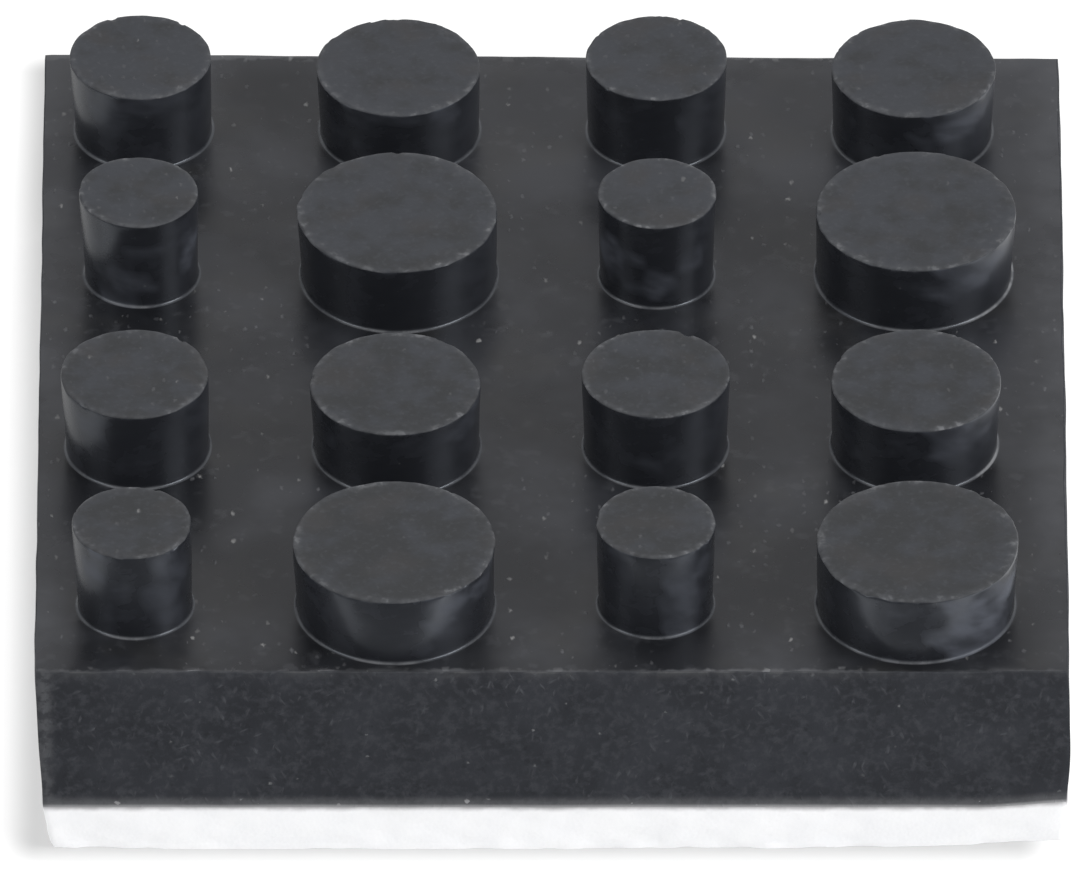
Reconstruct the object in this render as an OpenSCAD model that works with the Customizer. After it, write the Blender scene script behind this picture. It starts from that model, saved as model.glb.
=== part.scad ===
// Studded rubber foot with a bonded foam backing.
// The foot lies foam side down and studs up. The origin is at the middle of the
// foam's underside, +X runs to the right, +Y to the back and +Z up through the studs.

/* [Rubber slab] */
// Thickness of the rubber between the foam and the feet of the studs
slab_t = 8.2; // [5:0.1:14]
// How far each cut side leans in, from the slab's top edge down to its bottom edge
slab_lean = 0.15; // [0.05:0.05:0.8]

/* [Studs] */
// Diameter of the slim studs at their top face
slim_d = 5.8; // [4.6:0.1:7.4]
// Height of the slim studs above the slab
slim_h = 5; // [3.5:0.1:7]
// Diameter of the middling studs at their top face
mid_d = 7.2; // [6:0.1:8.6]
// Height of the middling studs above the slab
mid_h = 4.45; // [3:0.05:6.5]
// Diameter of the broad studs at their top face
broad_d = 8.3; // [7:0.1:9.8]
// Height of the broad studs above the slab
broad_h = 3.85; // [2.5:0.05:6]
// Diameter of the wide studs at their top face
wide_d = 9.8; // [8:0.1:11.4]
// Height of the wide studs above the slab
wide_h = 3.8; // [2.5:0.05:6]
// How much a stud's radius grows from its foot to its top
stud_flare = 0.14; // [0:0.02:0.3]
// Radius of the hollow fillet where a stud grows out of the slab
foot_fillet = 0.2; // [0.1:0.02:0.4]
// Rounding of a stud's top rim
rim_round = 0.08; // [0.04:0.02:0.3]

/* [Stud layout] */
// Distance between neighbouring columns of studs
column_pitch = 12.6; // [11.6:0.1:16]
// Distance from the front row of studs to the next row
front_pitch = 12.65; // [11.6:0.05:16]
// Distance between the two middle rows of studs
middle_pitch = 13.85; // [11.6:0.05:18]
// Distance from the back row of studs to the row before it
back_pitch = 11.9; // [11.4:0.05:16]
// Bare rubber left of the left column's widest stud
left_land = 1.25; // [0.5:0.05:5]
// Bare rubber right of the right column's widest stud
right_land = 2.45; // [0.5:0.05:5]
// Bare rubber in front of the front row's widest stud
front_land = 0.7; // [0.5:0.05:5]
// Bare rubber behind the back row's widest stud
back_land = 1.85; // [0.5:0.05:5]

/* [Foam backing] */
// Thickness of the foam
foam_t = 3; // [1:0.25:6]
// How far the foam's cut sides lean in from the rubber down to the underside
foam_lean = 0.45; // [0.1:0.05:1]
// Radius of the foam's upright corners
foam_corner = 1.2; // [0.4:0.1:3]

/* [Hidden] */
$fn = 96;

// Each kind of stud is [top diameter, height]. Kinds alternate along a row, and a
// row of middling and broad studs alternates with a row of slim and wide ones.
slim = [slim_d, slim_h];
mid = [mid_d, mid_h];
broad = [broad_d, broad_h];
wide = [wide_d, wide_h];
open_row = [slim, wide, slim, wide];
full_row = [mid, broad, mid, broad];
rows = [open_row, full_row, open_row, full_row]; // front to back

// The rubber reaches each land past the widest stud beside that edge, and the
// middle of that outline is the origin.
left_edge = -left_land - max([for (row = rows) row[0][0]]) / 2;
right_edge = 3 * column_pitch + max([for (row = rows) row[3][0]]) / 2 + right_land;
front_edge = -front_land - max([for (stud = rows[0]) stud[0]]) / 2;
back_edge = front_pitch + middle_pitch + back_pitch
    + max([for (stud = rows[3]) stud[0]]) / 2 + back_land;
pad_w = right_edge - left_edge;
pad_d = back_edge - front_edge;
column_x = [for (i = [0:3]) i * column_pitch - (left_edge + right_edge) / 2];
row_y = [for (y = [0, front_pitch, front_pitch + middle_pitch,
                   front_pitch + middle_pitch + back_pitch])
    y - (front_edge + back_edge) / 2];

slab_top = foam_t + slab_t;
stem_sink = 1; // how deep a stud's stem runs down into the slab, so that the two are one
arc_steps = 5;

// A block whose four sides lean in by `lean` from a w by d top to its bottom.
module leaning_block(w, d, h, lean) {
    intersection() {
        rotate([90, 0, 0])
            linear_extrude(d, center = true)
                polygon([[-w / 2 + lean, 0], [w / 2 - lean, 0], [w / 2, h], [-w / 2, h]]);
        rotate([90, 0, 90])
            linear_extrude(w, center = true)
                polygon([[-d / 2 + lean, 0], [d / 2 - lean, 0], [d / 2, h], [-d / 2, h]]);
    }
}

// A w by d rectangle with round corners.
module rounded_plan(w, d, r) {
    square([w - 2 * r, d], center = true);
    square([w, d - 2 * r], center = true);
    for (x = [-1, 1], y = [-1, 1])
        translate([x * (w / 2 - r), y * (d / 2 - r)])
            circle(r);
}

// One stud, standing on z = 0: a hollow fillet at its foot, a wall that flares
// out as it rises and a slightly rounded rim.
module stud(top_d, h) {
    top_r = top_d / 2;
    foot_r = top_r - stud_flare;
    foot_arc = [for (i = [0:arc_steps])
        let (a = 90 * i / arc_steps)
        [foot_r + foot_fillet * (1 - sin(a)), foot_fillet * (1 - cos(a))]];
    rim_arc = [for (i = [0:arc_steps])
        let (a = 90 * i / arc_steps)
        [top_r - rim_round * (1 - cos(a)), h - rim_round * (1 - sin(a))]];
    rotate_extrude()
        polygon(concat(
            [[0, -stem_sink], [foot_r, -stem_sink]],
            foot_arc,
            rim_arc,
            [[0, h]]));
}

// The moulding: the slab and its studs are one piece of black rubber.
module rubber_pad() {
    color("#3c3d40") {
        translate([0, 0, foam_t])
            leaning_block(pad_w, pad_d, slab_t, slab_lean);
        for (j = [0:3], i = [0:3])
            translate([column_x[i], row_y[j], slab_top])
                stud(rows[j][i][0], rows[j][i][1]);
    }
}

// The white foam, cut with the rubber and bonded under it.
module foam_backing() {
    foam_w = pad_w - 2 * slab_lean;
    foam_d = pad_d - 2 * slab_lean;
    color("#f4f4f5")
        intersection() {
            leaning_block(foam_w, foam_d, foam_t, foam_lean);
            linear_extrude(foam_t)
                rounded_plan(foam_w, foam_d, foam_corner);
        }
}

rubber_pad();
foam_backing();
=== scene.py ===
"""The looks of a studded rubber foot with a white foam backing.

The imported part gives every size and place: the slab, the sixteen studs and the foam are measured on its
solids, and each is then built again as one closed surface with the finish of the real thing. Sizes in this
file are millimetres, unless a name says otherwise, and each mesh is written in metres.
"""

from __future__ import annotations

import logging
import math
from collections.abc import Callable
from dataclasses import dataclass, field, replace
from enum import Enum
from functools import cached_property, reduce

import bpy
import numpy as np
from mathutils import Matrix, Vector


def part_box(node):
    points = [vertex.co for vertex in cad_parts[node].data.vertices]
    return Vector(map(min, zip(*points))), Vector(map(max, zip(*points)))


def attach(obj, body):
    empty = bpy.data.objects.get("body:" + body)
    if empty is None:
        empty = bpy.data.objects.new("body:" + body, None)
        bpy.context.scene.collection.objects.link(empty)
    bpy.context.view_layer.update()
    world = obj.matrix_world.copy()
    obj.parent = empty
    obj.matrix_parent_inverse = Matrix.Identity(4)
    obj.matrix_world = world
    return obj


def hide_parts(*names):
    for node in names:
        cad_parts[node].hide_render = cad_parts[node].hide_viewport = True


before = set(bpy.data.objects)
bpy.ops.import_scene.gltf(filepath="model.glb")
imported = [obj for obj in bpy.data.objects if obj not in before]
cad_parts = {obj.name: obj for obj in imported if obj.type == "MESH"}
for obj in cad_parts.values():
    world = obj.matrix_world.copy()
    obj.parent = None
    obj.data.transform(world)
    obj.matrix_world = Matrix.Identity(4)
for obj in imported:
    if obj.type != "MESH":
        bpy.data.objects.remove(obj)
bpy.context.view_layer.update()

log = logging.getLogger("rubber_foot")

MM = 0.001
BODY = "root"

Array = np.ndarray
Socket = bpy.types.NodeSocket
Triple = tuple[float, float, float]
Rgba = tuple[float, float, float, float]
Ramp = tuple[float, ...]

# A quarter circle of radius 1 in four steps: how far it has fallen, and what it lacks of its full reach.
FALL = 1 - np.cos(np.linspace(0, np.pi / 2, 5))
LACK = 1 - np.sin(np.linspace(0, np.pi / 2, 5))


# ------------------------------------------------------------------ surfaces


class Zone(Enum):
    """The kinds of surface on the moulding, each with a finish of its own."""

    LAND = 0
    WALL = 1
    CROWN = 2
    CUT = 3


class Mark(Enum):
    """The fine lines and patches that finishes pick out, each kept on the mesh as a weight from 0 to 1."""

    RIM = "rim"
    # A painted highlight along each stud's foot.
    FOOT_HIGHLIGHT = "foot"
    # The slab's upper edge; on the foam, the band of painted shade along its top.
    ARRIS = "arris"
    # Smears, and painted sheen and highlights, on the studs' walls.
    SMEAR_AND_SHEEN = "haze"
    DUST = "dust"


def ripple(points: Array, wavelength: float, seed: int, waves: int = 9) -> Array:
    """A smooth random height for every point, mostly between -1 and 1.

    It is the sum of a few sine waves of about one wavelength that run in random directions with random
    phases, divided by the root of half their number.

    Args:
        points: Places, one row each, of shape (n, 3).
        wavelength: The typical distance between two crests.
        seed: Picks the directions and phases.
        waves: How many sine waves are added up.

    Returns:
        One height for each point.
    """
    draw = np.random.default_rng(seed)
    heading = draw.normal(size=(waves, 3))
    heading /= np.linalg.norm(heading, axis=1, keepdims=True)
    pace = 2 * np.pi / wavelength * draw.uniform(0.6, 1.5, waves)
    phase = draw.uniform(0, 2 * np.pi, waves)
    return np.sin(points @ (heading * pace[:, None]).T + phase).sum(axis=1) / math.sqrt(waves / 2)


def ease(value: Array, start: float, end: float) -> Array:
    """Rises smoothly from 0 at start to 1 at end: t * t * (3 - 2t), with t the clipped share of the way."""
    t = np.clip((value - start) / (end - start), 0, 1)
    return t * t * (3 - 2 * t)


def raised(plan: Array, heights: Array) -> Array:
    """Rings of points: a plan of shape (rings, around, 2), with every ring at its own height."""
    return np.concatenate([plan, np.broadcast_to(heights[:, None, None], (*plan.shape[:2], 1))], axis=2)


def walk(xs: Array, ys: Array, steps: int) -> Array:
    """Points anticlockwise round a rectangle: steps of them, evenly spread, between two neighbouring edges.

    Args:
        xs: Edges along X, from the lowest to the highest.
        ys: Edges along Y, from the lowest to the highest.
        steps: The number of points from one edge to the next.

    Returns:
        Points of shape (n, 2), starting at the lowest corner.
    """
    share = np.arange(steps) / steps
    x_up, y_up = (np.concatenate([a + (b - a) * share for a, b in zip(e[:-1], e[1:])]) for e in (xs, ys))
    x_down, y_down = (np.append(up[1:], e[-1])[::-1] for up, e in ((x_up, xs), (y_up, ys)))
    across = np.concatenate([x_up, np.full(len(y_up), xs[-1]), x_down, np.full(len(y_up), xs[0])])
    along = np.concatenate([np.full(len(x_up), ys[0]), y_up, np.full(len(x_up), ys[-1]), y_down])
    return np.round(np.stack([across, along], axis=1), 6)


@dataclass
class Skin:
    """A closed surface put together from grids of points, in millimetres.

    Attributes:
        points: Blocks of points, each of shape (n, 3).
        weights: For each block of points, a column for each mark.
        faces: Blocks of faces, each a row of point numbers.
        zones: For each block of faces, the zone of each face.
    """

    points: list[Array] = field(default_factory=list)
    weights: list[Array] = field(default_factory=list)
    faces: list[Array] = field(default_factory=list)
    zones: list[Array] = field(default_factory=list)

    def add_rings(self, rings: Array, zones: Array, weights: dict[Mark, Array] | None = None) -> int:
        """Joins closed rings of points with quads. Faces point outwards if the rings run anticlockwise from
        the middle of an upper side to its rim, and on down.

        Args:
            rings: Points of shape (rings, around, 3).
            zones: The zone of each strip between two rings.
            weights: For some of the marks, one weight a ring or one a point, for as many rings as have any.

        Returns:
            The number of the first point of the first ring.
        """
        count, around = rings.shape[:2]
        first = sum(map(len, self.points))
        columns = np.zeros((count, around, len(Mark)))
        for column, mark in enumerate(Mark):
            if weights and mark in weights:
                some = weights[mark]
                columns[: len(some), :, column] = some if some.ndim == 2 else some[:, None]
        self.points.append(rings.reshape(-1, 3))
        self.weights.append(columns.reshape(-1, len(Mark)))
        row = first + np.arange(count - 1)[:, None] * around
        here = np.arange(around)[None, :]
        after = np.roll(here, -1, axis=1)
        corners = np.stack([row + here, row + around + here, row + around + after, row + after], axis=-1)
        self.faces.append(corners.reshape(-1, 4))
        self.zones.append(np.repeat(zones, around))
        return first

    def add_pole(
        self, pole: Array, first: int, around: int, zone: Zone, facing_up: bool,
        weights: dict[Mark, Array] | None = None,
    ) -> None:
        """Closes a ring with a fan of triangles.

        Args:
            pole: The point in the middle.
            first: The number of the ring's first point.
            around: How many points the ring has.
            zone: The zone of the fan.
            facing_up: True if the ring runs anticlockwise as seen from outside.
            weights: The middle point's weights for some of the marks.
        """
        middle = self.add_rings(np.asarray(pole, float).reshape(1, 1, 3), np.zeros(0, int), weights)
        here = first + np.arange(around)
        after = np.roll(here, -1)
        centre = np.full(around, middle)
        self.faces.append(np.stack((centre, here, after) if facing_up else (centre, after, here), axis=-1))
        self.zones.append(np.full(around, zone.value))

    def weld(self) -> tuple[Array, Array, list[Array]]:
        """Makes points in the same place one point.

        Returns:
            The points, their weights and the blocks of faces.
        """
        points = np.concatenate(self.points)
        _, kept, number = np.unique(np.round(points * 1e4).astype(np.int64), axis=0,
                                    return_index=True, return_inverse=True)
        number = number.reshape(-1)
        return points[kept], np.concatenate(self.weights)[kept], [number[block] for block in self.faces]

    def to_object(self, name: str, shape: Callable[[Array], Array]) -> bpy.types.Object:
        """Writes the surface into a new object.

        Args:
            name: The object's name.
            shape: Moves the welded points to their last place.

        Returns:
            The object, linked into the scene.
        """
        points, weights, faces = self.weld()
        corners = np.concatenate([block.ravel() for block in faces])
        sizes = np.concatenate([np.full(len(block), block.shape[1]) for block in faces])
        mesh = bpy.data.meshes.new(name)
        mesh.vertices.add(len(points))
        mesh.vertices.foreach_set("co", (shape(points) * MM).astype(np.float32).ravel())
        mesh.loops.add(len(corners))
        mesh.loops.foreach_set("vertex_index", corners.astype(np.int32))
        mesh.polygons.add(len(sizes))
        mesh.polygons.foreach_set("loop_start", (np.cumsum(sizes) - sizes).astype(np.int32))
        mesh.polygons.foreach_set("material_index", np.concatenate(self.zones).astype(np.int32))
        mesh.polygons.foreach_set("use_smooth", np.ones(len(sizes), dtype=bool))
        for mark, values in zip(Mark, weights.T):
            if values.any():
                layer = mesh.attributes.new(mark.value, "FLOAT", "POINT")
                layer.data.foreach_set("value", values.astype(np.float32))
        mesh.update(calc_edges=True)
        mesh.validate()
        made = bpy.data.objects.new(name, mesh)
        bpy.context.scene.collection.objects.link(made)
        return made


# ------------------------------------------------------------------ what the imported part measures


@dataclass(frozen=True)
class StudSite:
    """Where one stud stands and how big it is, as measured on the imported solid."""

    column: int
    row: int
    x: float
    y: float
    top_radius: float
    foot_radius: float
    height: float


@dataclass(frozen=True)
class SmearAndHighlight:
    """A lighter, duller patch on a stud's wall; the list holds real smears and painted highlights.

    Attributes:
        column: The stud's column, from the left.
        row: The stud's row, from the front.
        angle: The patch's middle in degrees from the front, positive to the right.
        rise: The patch's middle as a share of the stud's height.
        wide: Half its width in degrees.
        tall: Half its height as a share of the stud's height.
        strength: Its weight in the middle, up to 1.
    """

    column: int
    row: int
    angle: float
    rise: float
    wide: float
    tall: float
    strength: float

    def weight(self, angle: Array, rise: Array, rag: Array) -> Array:
        """The patch's weight: 1 less the distance from its middle in half sizes, made ragged and eased.

        Args:
            angle: The points' angles in degrees from the front, positive to the right.
            rise: Their heights as a share of the stud's height.
            rag: The ripple at each point.

        Returns:
            One weight for each point.
        """
        away = np.hypot((angle - self.angle) / self.wide, (rise - self.rise) / self.tall)
        return self.strength * ease(1.1 - away + 0.25 * rag, 0.0, 0.8)


def split_by_gaps(values: Array, gap: float) -> Array:
    """Numbers the groups that values fall into, where any two groups lie more than a gap apart.

    Args:
        values: One number for each point.
        gap: The least distance between two groups.

    Returns:
        For each point, the number of its group, counted from the lowest.
    """
    order = np.argsort(values)
    groups = np.empty(len(values), dtype=int)
    groups[order] = np.concatenate([[0], np.cumsum(np.diff(values[order]) > gap)])
    return groups


def measure_studs(points: Array, slab_top: float) -> list[StudSite]:
    """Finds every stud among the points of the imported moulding.

    A stud's points all lie above the slab, and studs stand well apart, so gaps in x part the columns, and
    gaps in y part the studs of one column.

    Args:
        points: The moulding's points in millimetres.
        slab_top: The height of the slab's upper face.

    Returns:
        The studs, column by column, from the front to the back.
    """
    foot_skip, stud_gap, foot_zone, least_reach = 0.05, 1.0, 1.0, 1.0
    raised_points = points[points[:, 2] > slab_top + foot_skip]
    columns = split_by_gaps(raised_points[:, 0], stud_gap)
    studs = []
    for column in range(columns.max() + 1):
        in_column = raised_points[columns == column]
        rows = split_by_gaps(in_column[:, 1], stud_gap)
        for row in range(rows.max() + 1):
            stud = in_column[rows == row]
            low, high = stud.min(axis=0), stud.max(axis=0)
            x, y = (low[:2] + high[:2]) / 2
            reach = np.hypot(stud[:, 0] - x, stud[:, 1] - y)
            lower_wall = (stud[:, 2] < slab_top + foot_zone) & (reach > least_reach)
            studs.append(StudSite(column, row, x, y, (high[0] - low[0]) / 2,
                                  reach[lower_wall].min(), high[2] - slab_top))
    return studs


def node_points(name: str) -> Array:
    """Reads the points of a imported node.

    Args:
        name: The node's name.

    Returns:
        Points of shape (n, 3), in millimetres.
    """
    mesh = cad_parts[name].data
    flat = np.empty(len(mesh.vertices) * 3, dtype=np.float32)
    mesh.vertices.foreach_get("co", flat)
    return flat.reshape(-1, 3).astype(float) / MM


# ------------------------------------------------------------------ finishes


def grey(level: float, blue: float = 0.0) -> Rgba:
    """A linear grey with a share more blue, and a quarter of that share more green."""
    return (level, level * (1 + blue / 4), level * (1 + blue), 1.0)


class Recipe:
    """A node tree, with short calls for the patterns that the finishes share.

    Patterns read Object coordinates, in millimetres. Coats of colour are laid one over another.
    """

    def __init__(self, owner: bpy.types.Material | bpy.types.World, output: str = "OutputMaterial") -> None:
        """Starts an empty tree.

        Args:
            owner: What the tree belongs to.
            output: The type of the node that ends it.
        """
        owner.use_nodes = True
        self.owner = owner
        self.tree = owner.node_tree
        self.tree.nodes.clear()
        self.output = self.add(output)
        self.colour: Socket | None = None

    def add(
        self, kind: str, inputs: dict[str | int, Socket | float | tuple[float, ...]] | None = None,
        **settings: str | bool,
    ) -> bpy.types.Node:
        """Adds a node.

        Args:
            kind: The node's type, without the word that all types start with.
            inputs: What goes into some of its sockets: a socket is linked, and any other value is set.
            settings: The node's own settings, such as its operation.

        Returns:
            The node.
        """
        node = self.tree.nodes.new("ShaderNode" + kind)
        for name, value in settings.items():
            setattr(node, name, value)
        for name, value in (inputs or {}).items():
            if isinstance(value, Socket):
                self.tree.links.new(value, node.inputs[name])
            else:
                node.inputs[name].default_value = value
        return node

    def end(self, shader: Socket) -> None:
        """Ends the tree with a shader."""
        self.tree.links.new(shader, self.output.inputs["Surface"])

    @cached_property
    def place(self) -> Socket:
        """Object coordinates in millimetres."""
        return self.mapped(scale=(1 / MM,) * 3, vector=self.add("TexCoord").outputs["Object"])

    @cached_property
    def axes(self) -> list[Socket]:
        """The place's X, Y and Z."""
        return list(self.add("SeparateXYZ", {0: self.place}).outputs)

    def mapped(
        self, scale: Triple = (1, 1, 1), turn: Triple = (0, 0, 0), shift: Triple = (0, 0, 0),
        vector: Socket | None = None,
    ) -> Socket:
        """The place, or a vector, scaled, turned by angles in degrees and then shifted."""
        inputs = {"Vector": vector or self.place, "Scale": scale, "Rotation": [math.radians(a) for a in turn]}
        return self.add("Mapping", inputs | {"Location": shift}).outputs["Vector"]

    def maths(
        self, kind: str, first: Socket | float, second: Socket | float = 0.0, clamp: bool = False,
    ) -> Socket:
        """One step of arithmetic on one or two values, such as SUBTRACT."""
        return self.add("Math", {0: first, 1: second}, operation=kind, use_clamp=clamp).outputs[0]

    def plus(self, first: Socket | float, second: Socket | float, clamp: bool = False) -> Socket:
        """The sum of two values."""
        return self.maths("ADD", first, second, clamp)

    def times(self, *values: Socket | float) -> Socket:
        """The product of some values."""
        return reduce(lambda first, second: self.maths("MULTIPLY", first, second), values)

    def most(self, *values: Socket | float) -> Socket:
        """The greatest of some values."""
        return reduce(lambda first, second: self.maths("MAXIMUM", first, second), values)

    def smooth(self, value: Socket, start: float, end: float, low: float = 0.0, high: float = 1.0) -> Socket:
        """Goes smoothly from low, where the value is start, to high, where it is end."""
        inputs = {"Value": value, "From Min": start, "From Max": end, "To Min": low, "To Max": high}
        return self.add("MapRange", inputs, interpolation_type="SMOOTHSTEP").outputs["Result"]

    def noise(
        self, size: float, detail: float = 2.0, vector: Socket | None = None, rough: float = 0.5,
    ) -> Socket:
        """Cloudy noise about 0.5, with clouds of about a size in millimetres."""
        inputs = {"Vector": vector or self.place, "Scale": 1 / size, "Detail": detail, "Roughness": rough}
        return self.add("TexNoise", inputs).outputs["Fac"]

    def cells(self, size: float, vector: Socket | None = None, dimensions: str = "3D") -> tuple[Socket, ...]:
        """Scattered points about a size apart, on the vector's X and Y alone if there are 2D dimensions.

        Args:
            size: The distance between points, in millimetres.
            vector: Where the pattern is read, if it isn't the place.
            dimensions: 3D or 2D.

        Returns:
            The distance to the nearest point in sizes, and two random numbers from 0 to 1 for that point.
        """
        inputs = {"Vector": vector or self.place, "Scale": 1 / size}
        points = self.add("TexVoronoi", inputs, voronoi_dimensions=dimensions).outputs
        lots = self.add("SeparateColor", {"Color": points["Color"]}).outputs
        return points["Distance"], lots["Red"], lots["Green"]

    def wobbled(self, vector: Socket, size: float, reach: float) -> Socket:
        """The vector moved about by noise of a size, by up to half a reach each way."""
        noise = self.add("TexNoise", {"Vector": vector, "Scale": 1 / size, "Detail": 1.0}).outputs["Color"]
        inputs = {0: noise, 1: (reach,) * 3, 2: vector}
        return self.add("VectorMath", inputs, operation="MULTIPLY_ADD").outputs[0]

    def specks(
        self, size: float, share: float, radius: float, vector: Socket | None = None, dimensions: str = "2D",
        soft: float = 0.8,
    ) -> Socket:
        """Small ragged spots at scattered points, some fainter than others.

        Args:
            size: The distance between points, in millimetres.
            share: The share of the points that have a spot.
            radius: The largest spot's radius in millimetres. The points with higher lots have larger spots.
            vector: Where the pattern is read, if it isn't the place.
            dimensions: 3D, or 2D for spots on the plane of the vector's X and Y.
            soft: The width of a spot's soft margin as a share of the largest radius.

        Returns:
            Up to 1 in the middle of a spot, and 0 outside all of them.
        """
        ragged = self.wobbled(vector or self.place, radius * 1.2, radius * 1.6)
        distance, lot, other = self.cells(size, ragged, dimensions)
        reach = radius / size
        grown = self.smooth(lot, 1 - share, 1.0, reach * 0.25, reach)
        kept = self.smooth(lot, 1 - share, 1 - share + 0.01)
        spot = self.smooth(self.maths("SUBTRACT", grown, distance), 0.0, reach * soft)
        return self.times(spot, kept, self.smooth(other, 0.0, 1.0, 0.25))

    def strokes(self, turn: float, size: float, share: float, vector: Socket) -> Socket:
        """Short soft strokes, three times as long as wide, along the vector's Y turned by some degrees."""
        turned = self.mapped(turn=(0, 0, turn), vector=vector)
        return self.specks(size, share, 0.13, self.mapped(scale=(1.0, 0.37, 1.0), vector=turned), soft=1.0)

    def edge_wear(self) -> Socket:
        """How worn the slab's upper edge is along X: by turns, and little towards its right end."""
        turns = self.smooth(self.noise(3.2, 1.0, self.mapped(shift=(0, 0, 17))), 0.38, 0.60, 0.35, 0.95)
        return self.times(turns, self.smooth(self.axes[0], 21.0, 15.0, 0.35, 1.0))

    def attribute(self, mark: Mark) -> Socket:
        """The weight of one of the mesh's marks."""
        return self.add("Attribute", attribute_name=mark.value).outputs["Fac"]

    def coat(self, share: Socket, colour: Rgba, under: Rgba | None = None) -> None:
        """Lays a colour over the last coat, or over a first colour, where the share is 1."""
        inputs = {"Factor": share, "A": under or self.colour, "B": colour}
        self.colour = self.add("Mix", inputs, data_type="RGBA").outputs["Result"]

    def bump(self, height: Socket, depth: float, below: Socket | None = None) -> Socket:
        """A normal that follows a height from 0 to 1, worth a depth in millimetres, over another normal."""
        inputs = {"Height": height, "Distance": depth * MM, "Strength": 1.0}
        return self.add("Bump", inputs | ({"Normal": below} if below else {})).outputs["Normal"]


@dataclass(frozen=True, kw_only=True)
class Finish:
    """What every finish has.

    Attributes:
        gloss: The shader's specular level, 0.5 for a plain plastic.
        roughness: Its roughness, where nothing dulls it.
        tint: The colour of its reflections.
    """

    gloss: float
    roughness: float
    tint: Rgba = (1.0, 1.0, 1.0, 1.0)

    def surface(self, r: Recipe, normal: Socket, roughness: Socket | None = None) -> bpy.types.Material:
        """Ends a recipe with one Principled shader under its last coat of colour.

        Args:
            r: The recipe.
            normal: The normal.
            roughness: The roughness, if it varies.

        Returns:
            The material.
        """
        r.end(r.add("BsdfPrincipled", {
            "Base Color": r.colour, "Roughness": roughness or self.roughness, "Normal": normal,
            "Specular IOR Level": self.gloss, "Specular Tint": self.tint,
        }).outputs["BSDF"])
        return r.owner


@dataclass(frozen=True, kw_only=True)
class LandFinish(Finish):
    """The slab's moulded upper face: smooth and half glossy, with a clouded bloom and pale dust, painted
    lighter towards the back.

    Attributes:
        half: Half the slab's width, along X and Y alike.
    """

    half: float
    base: float = 0.0085
    bloom: float = 0.0240
    haze: float = 0.060
    dust: float = 0.20
    gloss: float = 0.43
    roughness: float = 0.25
    tint: Rgba = (0.91, 0.92, 0.98, 1.0)

    def material(self) -> bpy.types.Material:
        """Builds the material.

        Returns:
            The material.
        """
        r = Recipe(bpy.data.materials.new("rubber_land"))
        x, y, _ = r.axes
        clouds = r.noise(6.5, 4.0, rough=0.6)
        # Clouds, with a painted gradient: lighter towards the back, standing in for a reflection that
        # brightens there.
        bloom_and_painted_gradient = r.plus(clouds, r.smooth(y, -20.0, 24.0, -0.08, 0.06))
        r.coat(r.smooth(bloom_and_painted_gradient, 0.34, 0.66), grey(self.bloom, 0.24), under=grey(self.base, 0.3))
        warm = r.smooth(r.noise(4.3, 2.0, r.mapped(shift=(31, 7, 0))), 0.5, 0.7, 0.0, 0.35)
        r.coat(warm, (self.bloom * 1.05, self.bloom * 1.02, self.bloom * 0.95, 1.0))
        end = self.half
        forward = r.times(r.smooth(y, 5.0 - end, 1.0 - end), r.smooth(x, -14.0, 0.0))
        margin = r.most(r.smooth(r.maths("ABSOLUTE", x), end - 2.4, end - 0.2),
                        r.smooth(y, end - 2.2, end - 0.2), r.times(forward, 0.20))
        r.coat(r.times(margin, r.smooth(clouds, 0.35, 0.65, 0.16, 0.52)), grey(self.haze, 0.15))
        smudges = r.smooth(r.noise(0.9, 2.0), 0.58, 0.74, 0.0, 0.22)
        r.coat(smudges, grey(self.haze, 0.15))
        rounder = r.mapped(scale=(1.0, 0.62, 1.0))
        faint = r.times(r.specks(0.62, 0.6, 0.13, rounder), r.smooth(r.noise(4.0, 1.0), 0.38, 0.62))
        r.coat(r.times(faint, 0.8), grey(self.haze * 1.6, 0.1))
        bright = r.specks(1.7, 0.5, 0.15, rounder)
        r.coat(bright, grey(self.dust))
        edge = r.maths("ABSOLUTE", y)
        frayed = r.plus(edge, r.smooth(r.noise(0.7, 3.0), 0.3, 0.7, -0.12, 0.14))
        worn = r.edge_wear()
        r.coat(r.times(r.smooth(frayed, end - 0.32, end - 0.08), worn), grey(self.haze * 1.15, 0.1))
        loose = r.smooth(edge, end - 0.55, end - 0.30)
        crumbs = r.times(r.specks(0.9, 0.8, 0.36, rounder, soft=0.35), loose, worn)
        r.coat(crumbs, grey(self.haze * 2.7, 0.05))
        specks = r.most(faint, bright)
        dull = r.most(r.times(specks, 0.4), r.times(forward, 0.09))
        rough = r.plus(r.smooth(clouds, 0.3, 0.7, self.roughness, self.roughness + 0.07), dull, clamp=True)
        height = r.plus(smudges, r.times(specks, 2.0))
        return self.surface(r, r.bump(height, 0.008, r.bump(r.noise(3.5, 1.0), 0.02)), rough)


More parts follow.
